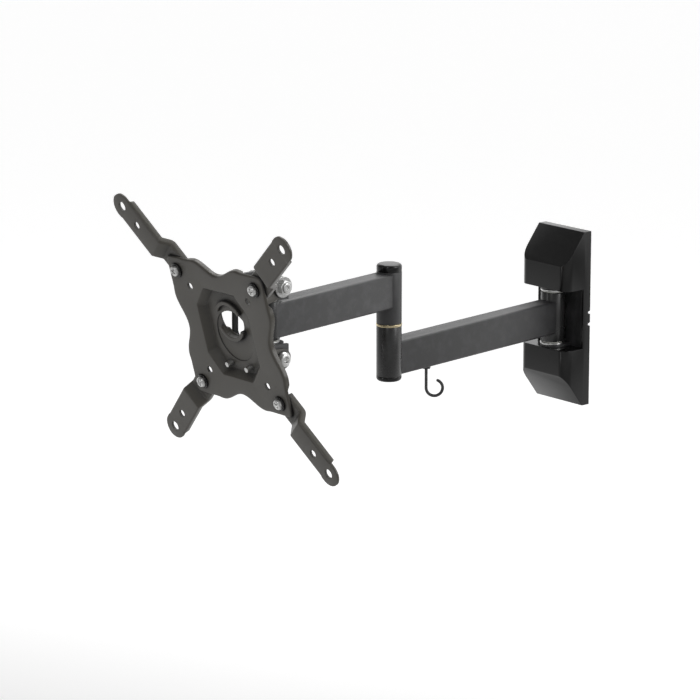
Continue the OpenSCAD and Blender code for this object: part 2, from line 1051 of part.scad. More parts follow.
// one raised arc beside the window, centred on angle a
module collar_arc(a) {
    root = floor_t / 2;
    translate([0, pocket_d + root, window_z])
        rotate([90, 0, 0])
            rotate([0, 0, a - collar_span / 2])
                rotate_extrude(angle = collar_span)
                    translate([window_r - collar_bite, 0])
                        square([collar_r - window_r + collar_bite, collar_h + root]);
}

// pressed screen plate with its wavy rim, pocket, window and holes
module screen_plate() {
    floor_back = pocket_d + floor_t;
    rim_cut = rim_end + plate_half;
    color(sheet_black)
        on_plate()
            difference() {
                union() {
                    difference() {
                        slab(0, plate_t)
                            plate_outline(0);
                        pocket_form(-eps, plate_t + eps, 0, 0);
                    }
                    difference() {
                        slab(0, rim_d)
                            plate_outline(0);
                        slab(-eps, rim_d + eps)
                            plate_outline(rim_t);
                        for (x = [-1, 1], z = [-1, 1])
                            translate([x * rim_cut, plate_t + rim_d, z * rim_cut])
                                cube([2 * plate_half, 2 * rim_d, 2 * plate_half], center = true);
                    }
                    difference() {
                        pocket_form(0, floor_back, -pocket_wall, pocket_draft - pocket_wall);
                        pocket_form(-pocket_skin, pocket_d, 0, pocket_draft);
                        translate([0, 0, dish_z])
                            bar_y(dish_r, 0, pocket_d + dish_d);
                    }
                    for (a = [90, -90])
                        collar_arc(a);
                }
                translate([0, 0, window_z])
                    bar_y(window_r, 0, floor_back + eps);
                for (x = [-1, 1], z = [-1, 1]) {
                    translate([x * vesa_small / 2, 0, z * vesa_small / 2])
                        bar_y(small_hole_r, -eps, plate_t + eps);
                    translate([x * vesa_mid / 2, 0, z * vesa_mid / 2])
                        bar_y(corner_hole_r, -eps, plate_t + eps);
                }
                for (x = [-1, 1])
                    translate([x * stud_x, 0, stud_z])
                        bar_y(stud_r, 0, floor_back + eps);
            }
}

// places children at the four corner screws
module at_corners() {
    on_plate()
        for (x = [-1, 1], z = [-1, 1])
            translate([x * vesa_mid / 2, 0, z * vesa_mid / 2])
                children();
}

// four corner screws with cross recesses
module corner_screws() {
    head = -corner_pad_t - corner_head_t;
    tail = ext_back + ext_t + slip + corner_nut_t + bolt_end;
    color(zinc)
        at_corners()
            difference() {
                union() {
                    bar_y(corner_r, -corner_pad_t, tail);
                    bar_y(corner_head_r, head, -corner_pad_t);
                }
                for (turn = [45, 135])
                    rotate([0, turn, 0])
                        translate([-recess_l / 2, head - eps, -recess_w / 2])
                            cube([recess_l, recess_d + eps, recess_w]);
            }
}

// dark spacer washers under the corner screw heads
module corner_washers() {
    color(gloss_black)
        at_corners()
            difference() {
                bar_y(corner_pad_r, -corner_pad_t, 0);
                bar_y(corner_r, -corner_pad_t - eps, eps);
            }
}

// four nuts that clamp the extension arms behind the plate
module corner_nuts() {
    face = ext_back + ext_t + slip;
    color(zinc)
        at_corners()
            rotate([-90, 0, 0])
                difference() {
                    hex_z(corner_nut_r, face, face + corner_nut_t);
                    bar_z(corner_r, face - eps, face + corner_nut_t + eps);
                }
}

// --- extension arms ---

// profile along an extension arm, in its length and depth: behind the plate, joggle, in front
module ext_profile(from, to, d) {
    polygon([
        [from, ext_back], [joggle_from, ext_back], [joggle_to, -ext_proud], [to, -ext_proud],
        [to, -ext_proud + d], [joggle_to + d * joggle_lean, -ext_proud + d],
        [joggle_from + d * joggle_lean, ext_back + d], [from, ext_back + d]
    ]);
}

// one extension arm at angle a, pivoting on the corner screw
module extension_arm(a) {
    half = ext_w / 2;
    color(sheet_black)
        on_plate()
            translate([sign(cos(a)) * vesa_mid / 2, 0, sign(sin(a)) * vesa_mid / 2])
                rotate([0, -a, 0])
                    difference() {
                        union() {
                            translate([0, 0, half])
                                mirror([0, 0, 1])
                                    linear_extrude(ext_w)
                                        ext_profile(0, ext_outer_hole, ext_t);
                            bar_y(half, ext_back, ext_back + ext_t);
                            translate([ext_outer_hole, 0, 0])
                                bar_y(half, -ext_proud, -ext_proud + ext_t);
                            for (z = [-half, half - ext_t])
                                translate([0, 0, z])
                                    linear_extrude(ext_t)
                                        ext_profile(0, ext_flange_end, ext_flange_d);
                        }
                        bar_y(corner_r + pin_play, 0, 4 * ext_t);
                        translate([ext_inner_hole, 0, 0])
                            bar_y(ext_inner_hole_r, -ext_proud - eps, -ext_proud + ext_t + eps);
                        translate([ext_outer_hole, 0, 0])
                            bar_y(ext_outer_hole_r, -ext_proud - eps, -ext_proud + ext_t + eps);
                    }
}

wall_plate();
pivot_bracket();
bracket_rivets();
wall_cover();
wall_pivot_bolt();
wall_pivot_nut();
wall_washers();
rear_arm_tube();
wall_barrel();
wall_bushes();
lower_elbow_barrel();
lower_elbow_cap();
elbow_pin();
elbow_nut();
elbow_ring();
cable_hook();
hook_nut();
front_arm_tube();
upper_elbow_barrel();
upper_elbow_cap();
elbow_bushes();
swivel_barrel();
swivel_bushes();
swivel_yoke();
swivel_pin();
swivel_nut();
swivel_washers();
tilt_bolt();
tilt_washer();
tilt_nut();
tilt_bracket();
lock_bolt();
lock_nut();
bracket_screws();
screen_plate();
corner_screws();
corner_washers();
corner_nuts();
extension_arm(ext_angle);  // extension_arm_1
extension_arm(135);  // extension_arm_2
extension_arm(-135);  // extension_arm_3
extension_arm(-45);  // extension_arm_4
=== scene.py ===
import json
from math import atan2, copysign, cos, pi, radians, sin, sqrt, tan

import bmesh
import bpy
import numpy as np
from mathutils import Matrix, Vector


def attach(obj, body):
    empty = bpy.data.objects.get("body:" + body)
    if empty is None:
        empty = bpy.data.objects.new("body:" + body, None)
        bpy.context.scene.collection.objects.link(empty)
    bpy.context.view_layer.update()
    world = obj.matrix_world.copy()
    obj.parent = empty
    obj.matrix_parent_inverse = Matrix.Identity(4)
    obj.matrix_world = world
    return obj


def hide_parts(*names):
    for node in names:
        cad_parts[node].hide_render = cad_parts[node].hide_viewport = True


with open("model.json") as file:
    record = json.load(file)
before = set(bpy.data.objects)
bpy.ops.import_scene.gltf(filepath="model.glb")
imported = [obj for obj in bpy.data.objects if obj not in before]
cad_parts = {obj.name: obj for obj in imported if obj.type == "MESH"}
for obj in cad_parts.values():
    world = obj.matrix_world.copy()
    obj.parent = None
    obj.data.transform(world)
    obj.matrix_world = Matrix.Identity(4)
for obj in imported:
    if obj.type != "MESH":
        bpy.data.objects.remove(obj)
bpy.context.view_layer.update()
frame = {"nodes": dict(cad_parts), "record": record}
NODES = frame["nodes"]
RECORD = frame["record"]
SLOT_OF = {p["node"]: p["material_slot"] for p in RECORD["subparts"]}
BODY_OF = {n: b for b, names in RECORD["behaviour"]["bodies"].items() for n in names}
MM = 0.001

# ---------------------------------------------------------------- shader helpers


def group(name, inputs, outputs):
    """A new shader node group with its sockets."""
    tree = bpy.data.node_groups.new(name, "ShaderNodeTree")
    for label, kind, default in inputs:
        s = tree.interface.new_socket(label, in_out="INPUT", socket_type=kind)
        if default is not None:
            s.default_value = default
    for label in outputs:
        tree.interface.new_socket(label, in_out="OUTPUT", socket_type="NodeSocketFloat")
    return tree, tree.nodes.new("NodeGroupInput"), tree.nodes.new("NodeGroupOutput")


def placed_group(tree, shared, vector, **values):
    """A shared group placed in a material, fed with coordinates and its own values."""
    n = tree.nodes.new("ShaderNodeGroup")
    n.node_tree = shared
    tree.links.new(vector, n.inputs["Vector"])
    for label, value in values.items():
        n.inputs[label].default_value = value
    return n


def maths(tree, op, a, b, clamp=False):
    """A Math node between sockets or plain numbers."""
    n = tree.nodes.new("ShaderNodeMath")
    n.operation, n.use_clamp = op, clamp
    for socket, v in zip(n.inputs, (a, b)):
        if isinstance(v, (int, float)):
            socket.default_value = v
        else:
            tree.links.new(v, socket)
    return n.outputs[0]


def remap(tree, value, lo, hi, out_lo=0.0, out_hi=1.0):
    n = tree.nodes.new("ShaderNodeMapRange")
    n.clamp = True
    for label, v in (("From Min", lo), ("From Max", hi), ("To Min", out_lo), ("To Max", out_hi)):
        n.inputs[label].default_value = v
    tree.links.new(value, n.inputs["Value"])
    return n.outputs["Result"]


def noise(tree, vector, scale, detail=3.0, rough=0.55):
    n = tree.nodes.new("ShaderNodeTexNoise")
    n.inputs["Scale"].default_value = scale
    n.inputs["Detail"].default_value = detail
    n.inputs["Roughness"].default_value = rough
    tree.links.new(vector, n.inputs["Vector"])
    return n.outputs["Fac"]


def blend(tree, factor, a, b):
    """Colour a turning into colour b; each is a socket or a plain colour."""
    n = tree.nodes.new("ShaderNodeMix")
    n.data_type = "RGBA"
    tree.links.new(factor, n.inputs["Factor"])
    for label, v in (("A", a), ("B", b)):
        if isinstance(v, tuple):
            n.inputs[label].default_value = (*v, 1)
        else:
            tree.links.new(v, n.inputs[label])
    return n.outputs["Result"]


def measured(tree, operation, vector, other):
    """A vector's distance from a point, or its length along a direction."""
    n = tree.nodes.new("ShaderNodeVectorMath")
    n.operation = operation
    n.inputs[1].default_value = other
    tree.links.new(vector, n.inputs[0])
    return n.outputs["Value"]


# ---------------------------------------------------------------- shared shader groups


def build_wear_group():
    """How much paint has rubbed thin: high on convex edges, broken up by noise."""
    tree, gi, go = group("edge_wear", [("Vector", "NodeSocketVector", None)], ["Wear"])
    geo = tree.nodes.new("ShaderNodeNewGeometry")
    patch = noise(tree, gi.outputs["Vector"], 90.0, 4.0, 0.6)
    edge = remap(tree, geo.outputs["Pointiness"], 0.5, 0.58)
    tree.links.new(maths(tree, "MULTIPLY", edge, remap(tree, patch, 0.45, 0.7), True), go.inputs["Wear"])
    return tree


def build_grain_group():
    """Height of a fine sprayed grain over slow unevenness, and that unevenness alone."""
    inputs = [("Vector", "NodeSocketVector", None), ("Scale", "NodeSocketFloat", 1800.0)]
    tree, gi, go = group("paint_grain", inputs, ["Height", "Patch"])
    fine = tree.nodes.new("ShaderNodeTexNoise")
    fine.inputs["Detail"].default_value = 2.0
    tree.links.new(gi.outputs["Vector"], fine.inputs["Vector"])
    tree.links.new(gi.outputs["Scale"], fine.inputs["Scale"])
    slow = noise(tree, gi.outputs["Vector"], 26.0, 3.0, 0.5)
    height = maths(tree, "ADD", fine.outputs["Fac"], maths(tree, "MULTIPLY", slow, 0.35))
    tree.links.new(height, go.inputs["Height"])
    tree.links.new(slow, go.inputs["Patch"])
    return tree


def build_dust_group():
    """Light dust that settles on faces that look up."""
    inputs = [("Vector", "NodeSocketVector", None), ("Amount", "NodeSocketFloat", 0.3)]
    tree, gi, go = group("settled_dust", inputs, ["Dust"])
    geo = tree.nodes.new("ShaderNodeNewGeometry")
    split = tree.nodes.new("ShaderNodeSeparateXYZ")
    tree.links.new(geo.outputs["Normal"], split.inputs[0])
    up = remap(tree, split.outputs["Z"], 0.3, 1.0)
    speck = remap(tree, noise(tree, gi.outputs["Vector"], 240.0, 5.0, 0.65), 0.42, 0.68)
    dust = maths(tree, "MULTIPLY", maths(tree, "MULTIPLY", up, speck), gi.outputs["Amount"], True)
    tree.links.new(dust, go.inputs["Dust"])
    return tree


WEAR, GRAIN, DUST = build_wear_group(), build_grain_group(), build_dust_group()
DUST_COLOUR = (0.42, 0.41, 0.39)
# near-black colour painted into hollows as shade
PAINTED_SHADE_COLOUR = (0.002, 0.002, 0.0015)
DUST_ROUGH, RECESS_ROUGH = 0.4, 0.35

# ---------------------------------------------------------------- materials


def finish_material(name, base, rough, metal=0.0, spec=0.5, grain=1800.0, bump=0.00004, patch=0.04,
                    wear=None, dust=0.0, aniso=0.0, shade_reach=None):
    """A procedural finish; wear is (colour, amount), and the last argument is how far, in metres, hollows are
    sought for painted shade.
    """
    mat = bpy.data.materials.new(name)
    mat.use_nodes = True
    tree = mat.node_tree
    shader = tree.nodes["Principled BSDF"]
    coords = tree.nodes.new("ShaderNodeTexCoord").outputs["Object"]
    g = placed_group(tree, GRAIN, coords, Scale=grain)
    relief = tree.nodes.new("ShaderNodeBump")
    relief.inputs["Strength"].default_value = 1.0
    relief.inputs["Distance"].default_value = bump
    tree.links.new(g.outputs["Height"], relief.inputs["Height"])
    tree.links.new(relief.outputs["Normal"], shader.inputs["Normal"])
    # base colour and roughness drift a little with the slow patches
    slow = g.outputs["Patch"]
    colour = blend(tree, remap(tree, slow, 0.3, 0.7), tuple(c * (1 - patch * 2) for c in base),
                   tuple(min(1, c * (1 + patch * 2)) for c in base))
    rough_out = remap(tree, slow, 0.3, 0.7, rough - patch, rough + patch)
    # painted shade: where the surface is hemmed in, the colour is darkened towards near black, and made rougher
    if shade_reach:
        hollow = tree.nodes.new("ShaderNodeAmbientOcclusion")
        hollow.samples = 6
        hollow.inputs["Distance"].default_value = shade_reach
        shade = remap(tree, hollow.outputs["AO"], 0.66, 0.93, 1.0, 0.0)
        colour = blend(tree, shade, colour, PAINTED_SHADE_COLOUR)
        rough_out = maths(tree, "ADD", rough_out, maths(tree, "MULTIPLY", shade, RECESS_ROUGH), True)
    if wear:
        worn = placed_group(tree, WEAR, coords).outputs["Wear"]
        colour = blend(tree, maths(tree, "MULTIPLY", worn, wear[1]), colour, wear[0])
    if dust:
        settled = placed_group(tree, DUST, coords, Amount=dust).outputs["Dust"]
        colour = blend(tree, settled, colour, DUST_COLOUR)
        rough_out = maths(tree, "ADD", rough_out, maths(tree, "MULTIPLY", settled, DUST_ROUGH), True)
    tree.links.new(colour, shader.inputs["Base Color"])
    tree.links.new(rough_out, shader.inputs["Roughness"])
    shader.inputs["Metallic"].default_value = metal
    shader.inputs["Specular IOR Level"].default_value = spec
    shader.inputs["Anisotropic"].default_value = aniso
    return mat


FINISHES = {
    "powder_coat": dict(base=(0.024, 0.024, 0.025), rough=0.46, spec=0.75, grain=2300.0, bump=0.00007,
                        patch=0.015, wear=((0.09, 0.09, 0.095), 0.35), dust=0.03),
    "satin_barrel": dict(base=(0.020, 0.020, 0.020), rough=0.27, spec=0.7, grain=1500.0, bump=0.00002,
                         patch=0.015, wear=((0.07, 0.07, 0.07), 0.3), dust=0.03),
    # the sheet coat has shade painted into its hollows
    "sheet_coat": dict(base=(0.062, 0.056, 0.044), rough=0.34, spec=0.8, grain=1700.0, bump=0.00003,
                       patch=0.012, wear=((0.1, 0.095, 0.085), 0.3), dust=0.03, shade_reach=0.012),
    "gloss_plastic": dict(base=(0.004, 0.004, 0.004), rough=0.20, grain=300.0, bump=0.00001, patch=0.02,
                          dust=0.02),
    "zinc": dict(base=(0.72, 0.72, 0.71), rough=0.30, metal=1.0, grain=900.0, bump=0.00003, aniso=0.3),
    "nylon": dict(base=(0.70, 0.70, 0.65), rough=0.45, grain=500.0, bump=0.00003, patch=0.02),
    "brass": dict(base=(0.66, 0.56, 0.36), rough=0.26, metal=1.0, grain=900.0, bump=0.00002),
}
MATERIALS = {name: finish_material(name, **values) for name, values in FINISHES.items()}
# the turned barrels are painted smoother than the tubes
SMOOTH_BARRELS = ("lower_elbow_barrel", "wall_barrel", "swivel_barrel")

# ---------------------------------------------------------------- mesh helpers

# distance in mm within which points of a part are one point, and the smallest half angle of a corner
MERGE, FLAT = 1e-4, 1e-4
# clean-up of a CAD mesh: welding distance in metres, and in degrees what counts as flat and as an edge
WELD, FLAT_WITHIN, EDGE_FROM = 2e-6, 0.6, 35


def smooth_below(bm, angle):
    """Smooth shading, with edges sharper than angle kept crisp."""
    for f in bm.faces:
        f.smooth = True
    for e in bm.edges:
        if len(e.link_faces) == 2:
            e.smooth = e.calc_face_angle(0) < radians(angle)


def finish_piece(node, bm, sharp=32):
    """Turns a bmesh into the piece that stands for a node, on the node's body and in its material."""
    name = node + "_piece"
    mesh = bpy.data.meshes.new(name)
    bmesh.ops.recalc_face_normals(bm, faces=bm.faces)
    smooth_below(bm, sharp)
    bm.to_mesh(mesh)
    bm.free()
    obj = bpy.data.objects.new(name, mesh)
    bpy.context.scene.collection.objects.link(obj)
    slot = SLOT_OF[node]
    mesh.materials.append(MATERIALS["satin_barrel" if node in SMOOTH_BARRELS else slot])
    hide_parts(node)
    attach(obj, BODY_OF[node])
    return obj


def dress(node, width, segments, pick=None):
    """The CAD shape with its edges rounded."""
    bm = bmesh.new()
    bm.from_mesh(NODES[node].data)
    bmesh.ops.remove_doubles(bm, verts=bm.verts, dist=WELD)
    bmesh.ops.dissolve_limit(bm, angle_limit=radians(FLAT_WITHIN), verts=bm.verts, edges=bm.edges)
    edges = [e for e in bm.edges if len(e.link_faces) == 2 and e.calc_face_angle(0) > radians(EDGE_FROM)
             and (pick is None or pick(e))]
    bmesh.ops.bevel(bm, geom=edges, offset=width * MM, offset_type="OFFSET", segments=segments, profile=0.5,
                    affect="EDGES", clamp_overlap=True, material=-1)
    return finish_piece(node, bm, sharp=40)


def place(bm, matrix):
    bmesh.ops.transform(bm, matrix=matrix, verts=bm.verts)


def join(bm, part):
    """Adds a finished part to a bmesh."""
    mesh = bpy.data.meshes.new("part")
    part.to_mesh(mesh)
    part.free()
    bm.from_mesh(mesh)
    bpy.data.meshes.remove(mesh)


def loft(bm, stations, matrix=Matrix(), meet=False):
    """Extrudes a closed outline from station to station; its ends meet, or are closed with a face."""
    part = bmesh.new()
    row = [part.verts.new(p) for p in stations[0]]
    edges = [part.edges.new(pair) for pair in zip(row, row[1:] + row[:1])]
    if not meet:
        part.faces.new(row)
    for points in stations[1:] + (stations[:1] if meet else []):
        grown = bmesh.ops.extrude_edge_only(part, edges=edges)["geom"]
        fresh = {v for v in grown if isinstance(v, bmesh.types.BMVert)}
        row = [next(e.other_vert(v) for e in v.link_edges if e.other_vert(v) in fresh) for v in row]
        for v, p in zip(row, points):
            v.co = p
        edges = [e for e in grown if isinstance(e, bmesh.types.BMEdge) and fresh.issuperset(e.verts)]
    if meet:
        bmesh.ops.remove_doubles(part, verts=part.verts, dist=MERGE)
    else:
        part.faces.new(row)
    place(part, matrix)
    join(bm, part)


def turned(bm, profile, matrix, steps=64):
    """Spins an open or closed line of (radius, height) points round Z."""
    part = bmesh.new()
    line = [part.verts.new((r, 0, z)) for r, z in profile]
    edges = [part.edges.new(pair) for pair in zip(line, line[1:])]
    bmesh.ops.spin(part, geom=line + edges, axis=(0, 0, 1), cent=(0, 0, 0), angle=2 * pi, steps=steps,
                   use_merge=True)
    bmesh.ops.remove_doubles(part, verts=part.verts, dist=MERGE)
    place(part, matrix)
    join(bm, part)


def fillet(points, steps):
    """Rounds the corners of an open (x, y, radius) line."""
    out = []
    for i, (x, y, r) in enumerate(points):
        if i in (0, len(points) - 1) or r <= 0:
            out.append((x, y))
            continue
        p, a, b = Vector((x, y)), Vector(points[i - 1][:2]), Vector(points[i + 1][:2])
        out += [tuple(q) for q in round_corner(a, p, b, r, 0.49, steps)]
    return out


def round_corner(a, p, b, r, most, steps):
    """Points of a soft corner at p, between a and b; it takes at most that share of either side."""
    a, b = a - p, b - p
    reach = min(r / tan(max(FLAT, a.angle(b) / 2)), a.length * most, b.length * most)
    p0, p1 = p + a.normalized() * reach, p + b.normalized() * reach
    return [p0 * (1 - u) ** 2 + p * 2 * u * (1 - u) + p1 * u ** 2
            for u in np.linspace(0, 1, steps + 1).tolist()]


# ---------------------------------------------------------------- frames of the object, in mm

YAW, FRONT_YAW, TILT = radians(7.3), radians(9.2), radians(15)
PIVOT_D, REAR_REACH, FRONT_REACH, FRONT_Z = 17.8, 219, 152, 58.9
HEAD_REACH, PLATE_DROP, BOLT_RISE = 42.0, 7.7, 30.0
PIVOT = Vector((0, -PIVOT_D, 0))
ELBOW = PIVOT + REAR_REACH * Vector((sin(YAW), -cos(YAW), 0))
SWIVEL = ELBOW + FRONT_REACH * Vector((sin(FRONT_YAW), -cos(FRONT_YAW), 0)) + Vector((0, 0, FRONT_Z))
PLATE_MID = SWIVEL + Vector((0, -HEAD_REACH, -PLATE_DROP))
MILLIMETRES = Matrix.Scale(MM, 4)
ON_PLATE = MILLIMETRES @ Matrix.Translation(PLATE_MID) @ Matrix.Rotation(TILT, 4, "X")
ON_SWIVEL = MILLIMETRES @ Matrix.Translation(SWIVEL)
ON_REAR_ARM = MILLIMETRES @ Matrix.Translation(ELBOW) @ Matrix.Rotation(YAW, 4, "Z")
# turns a turned part's +Z into -Y, so that it faces out of the plate, or into +X
FACE_OUT = Matrix.Rotation(pi / 2, 4, "X")
TO_X = Matrix.Rotation(pi / 2, 4, "Y")
CORNERS = [(x, z) for x in (-1, 1) for z in (-1, 1)]

# ---------------------------------------------------------------- screen plate

HALF, WAIST, HUMP, CREST, CREST_RUN, CORNER_R = 61.5, 53.0, 28.0, 0.6, 7.0, 4.0
PLATE_T, RIM_D, POCKET_D, FLOOR_T = 2.2, 5.0, 6.5, 2.2
FLOOR_BACK = POCKET_D + FLOOR_T
RIM_BEND, RIM_T, RIM_FADE_AT, RIM_FADE = 1.9, 2.0, 37.5, 4.0
POCKET_HALF_X, POCKET_TOP, POCKET_LOW, POCKET_RUN = 33.6, 39.6, -38.0, 4.8
CHAMFER_X, CHAMFER_Z, CHAMFER_SHRINK = 14.0, 17.0, 0.4
LIP_R, FOOT_R, LIP_CORNER, FOOT_CORNER = 1.1, 0.8, 3.5, 3.0
DISH_Z, DISH_R, DISH_D = -2.6, 22.0, 0.8
WINDOW_Z, WINDOW_R = 11.3, 14.3
COLLAR_HALF, COLLAR_STEPS = 62, 44
SMALL_SQUARE, CORNER_SQUARE = 37.5, 50.0
EDGE_STEPS, CORNER_STEPS, ROUND_STEPS, DENSE = 150, 12, 360, 0.5
# the plate's outlines are measured as radii from here
CENTRE = Vector((0.0, 5.0))


def edge_half(t):
    """Half width of the wavy edge at place t along it."""
    u = abs(t)
    if u >= HUMP + CREST_RUN:
        return HALF
    if u > HUMP:
        return HALF + CREST * (1 + cos(pi * (u - HUMP) / CREST_RUN)) / 2
    return WAIST + (HALF + CREST - WAIST) * (1 - cos(pi * u / HUMP)) / 2


def outer_outline():
    """Outline points (x, z, place along the edge), once round the plate."""
    straight = HALF - CORNER_R
    line = [(edge_half(t), t, t) for t in np.linspace(-straight, straight, EDGE_STEPS, endpoint=False)]
    corner = [(straight + CORNER_R * cos(a), straight + CORNER_R * sin(a), HALF)
              for a in np.linspace(0, pi / 2, CORNER_STEPS, endpoint=False)]
    turns = [(round(cos(a)), round(sin(a))) for a in np.linspace(0, 2 * pi, 4, endpoint=False)]
    return [(c * x - s * z, s * x + c * z, t) for c, s in turns for x, z, t in line + corner]


def dense_closed(points, corner_r):
    """A closed polygon with soft corners, sampled densely."""
    points = [Vector(p) for p in points]
    ring = []
    for a, p, b in zip(points[-1:] + points, points, points[1:] + points[:1]):
        ring += round_corner(a, p, b, corner_r, 0.45, 8)
    out = []
    for p, q in zip(ring, ring[1:] + ring[:1]):
        m = max(1, int((q - p).length / DENSE))
        out += [p.lerp(q, k / m) for k in range(m)]
    return out


def pocket_ring(d):
    """Eight-sided pocket outline taken in by d."""
    x, top, low = POCKET_HALF_X - d, POCKET_TOP - d, POCKET_LOW + d
    cx, cz = CHAMFER_X - d * CHAMFER_SHRINK, CHAMFER_Z - d * CHAMFER_SHRINK
    return [(x, low + cz), (x, top - cz), (x - cx, top), (cx - x, top), (-x, top - cz), (-x, low + cz),
            (cx - x, low), (x - cx, low)]


def circle_points(cz, r):
    return [(r * cos(a), cz + r * sin(a)) for a in np.linspace(0, 2 * pi, ROUND_STEPS, endpoint=False)]


def screen_plate():
    """The pressed plate, as one cross-section led round from its rim over the front to its back."""
    outline = np.array(outer_outline())
    dx, dz = outline[:, 0] - CENTRE.x, outline[:, 1] - CENTRE.y
    ang, edge = np.arctan2(dz, dx), np.hypot(dx, dz)
    rim = PLATE_T + (RIM_D - PLATE_T) * np.clip((RIM_FADE_AT - abs(outline[:, 2])) / RIM_FADE, 0, 1)

    def radii(points):
        """Radius of an outline at each of the edge's angles."""
        p = np.array([tuple(q) for q in points]) - np.array(CENTRE)
        a, r = np.arctan2(p[:, 1], p[:, 0]), np.hypot(p[:, 0], p[:, 1])
        k = np.argsort(a)
        a, r = a[k], r[k]
        return np.interp(ang, np.concatenate([a - 2 * pi, a, a + 2 * pi]), np.concatenate([r, r, r]))

    lip = radii(dense_closed(pocket_ring(0), LIP_CORNER))
    foot = radii(dense_closed(pocket_ring(POCKET_RUN), FOOT_CORNER))
    dish = radii(circle_points(DISH_Z, DISH_R))
    window = radii(circle_points(WINDOW_Z, WINDOW_R))
    wall = atan2(POCKET_D, POCKET_RUN)
    dish_y = POCKET_D + DISH_D
    # (radii, depth) of each station: rolled rim and face
    cut = [(edge - 0.3, rim), (edge, rim - 0.3)]
    cut += [(edge - RIM_BEND * (1 - cos(a)), RIM_BEND * (1 - sin(a))) for a in np.linspace(0, pi / 2, 6)]
    cut += [(edge - 4.5, 0.0)]
    # lip, wall and foot of the pocket
    cut += [(lip + LIP_R * (tan(wall / 2) - sin(a)), LIP_R * (1 - cos(a))) for a in np.linspace(0, wall, 6)]
    cut += [(lip + (foot - lip) * u, POCKET_D * u) for u in (0.35, 0.65)]
    cut += [(foot - FOOT_R * (tan(wall / 2) - sin(a)), POCKET_D - FOOT_R * (1 - cos(a)))
            for a in np.linspace(wall, 0, 6)]
    # pocket floor, dish and window
    cut += [(foot - 3.0, POCKET_D), (dish + 0.5, POCKET_D), (dish + 0.2, POCKET_D + 0.1),
            (dish - 0.05, dish_y - 0.1), (dish - 0.35, dish_y), ((dish + window) / 2, dish_y),
            (window + 0.35, dish_y), (window, dish_y + 0.3), (window, FLOOR_BACK - 0.2)]
    # back of the pocket, back of the plate and inside of the rim
    cut += [(window + 0.3, FLOOR_BACK), (foot + 0.4, FLOOR_BACK), (foot + 1.5, FLOOR_BACK - 0.6),
            (lip + 1.2, PLATE_T + 0.8), (lip + 2.3, PLATE_T), (edge - 4.5, PLATE_T),
            (edge - PLATE_T - 0.6, PLATE_T + 0.001), (edge - RIM_T - 0.05, np.minimum(rim, PLATE_T + 0.5)),
            (edge - RIM_T, rim - 0.25 * (rim > 3)), (edge - RIM_T + 0.3, rim + 0.001)]
    bm = bmesh.new()
    level = np.zeros(len(ang))
    loft(bm, [np.column_stack([CENTRE.x + r * np.cos(ang), level + y, CENTRE.y + r * np.sin(ang)]).tolist()
              for r, y in cut], meet=True)
    # raised arcs above and below the window
    collar = fillet([(14.25, 7.9, 0), (14.25, 3.6, 0.7), (17.7, 3.6, 1.1), (17.9, 7.9, 0)], 5)
    for mid in (90, -90):
        loft(bm, [[(r * cos(a), y, WINDOW_Z + r * sin(a)) for r, y in collar]
                  for a in np.radians(np.linspace(mid - COLLAR_HALF, mid + COLLAR_HALF, COLLAR_STEPS + 1))])
    place(bm, ON_PLATE)
    obj = finish_piece("screen_plate", bm, sharp=38)
    holes = bmesh.new()
    hole = [(0, 0), (3.1, 0), (3.1, 5.8), (3.4, 6.02), (3.4, 9), (0, 9)]
    for x, z in CORNERS:
        turned(holes, hole, Matrix.Translation((x * SMALL_SQUARE, 6, z * SMALL_SQUARE)) @ FACE_OUT, 48)
    cut_with(obj, holes, ON_PLATE, 24)


def cut_with(obj, cutters, matrix, sharp=38):
    """Subtracts closed shapes from a piece and leaves a plain mesh."""
    place(cutters, matrix)
    bmesh.ops.recalc_face_normals(cutters, faces=cutters.faces)
    mesh = bpy.data.meshes.new("cutters")
    cutters.to_mesh(mesh)
    cutters.free()
    tool = bpy.data.objects.new("cutters", mesh)
    bpy.context.scene.collection.objects.link(tool)
    mod = obj.modifiers.new("holes", "BOOLEAN")
    mod.operation, mod.solver, mod.object = "DIFFERENCE", "EXACT", tool
    deps = bpy.context.evaluated_depsgraph_get()
    result = bpy.data.meshes.new_from_object(obj.evaluated_get(deps))
    obj.modifiers.remove(mod)
    bm = bmesh.new()
    bm.from_mesh(result)
    smooth_below(bm, sharp)
    for f in bm.faces:
        f.material_index = 0
    bm.to_mesh(obj.data)
    bm.free()
    bpy.data.objects.remove(tool)
    for spent in (result, mesh):
        bpy.data.meshes.remove(spent)


# ---------------------------------------------------------------- extension arms

EXT_BACK, EXT_PROUD, EXT_T, EXT_HALF, FLANGE = 2.5, -4.9, 2.0, 11.0, 5.5
JOGGLE_FROM, JOGGLE_TO, JOGGLE_LEAN, JOGGLE_R = 17.5, 24.5, 0.43, 2.2
INNER_HOLE, OUTER_HOLE = 50, 50 * sqrt(2)
EYE_HOLE_R, INNER_HOLE_R, OUTER_HOLE_R, HOLE_CHAMFER, TIGHT = 2.55, 3.2, 4.0, 0.32, 0.004
FLANGE_END, FLANGE_GONE = 66, 67
EXT_ANGLES = {"extension_arm_1": 40, "extension_arm_2": 135, "extension_arm_3": -135, "extension_arm_4": -45}


def arm_path(d):
    """Stations (x, y) along the middle of an arm, at depth d behind its outer face."""
    back, proud, lean = EXT_BACK + d, EXT_PROUD + d, d * JOGGLE_LEAN
    bends = fillet([(0, back, 0), (JOGGLE_FROM + lean, back, JOGGLE_R + d),
                    (JOGGLE_TO + lean, proud, max(0.5, JOGGLE_R - d)), (OUTER_HOLE, proud, 0)], 6)
    start = [-EXT_HALF * cos(a) for a in np.linspace(0, pi / 2, 12)[:-1]] + [-0.01, 0.2]
    end = [32, 40, 50, 60, 65.6, 66.2, 66.8, 67.4, 68.4, 69.5]
    end += [OUTER_HOLE + EXT_HALF * sin(a) for a in np.linspace(0, pi / 2, 16)]
    return [(x, back) for x in start] + bends[1:-1] + [(x, proud) for x in end]


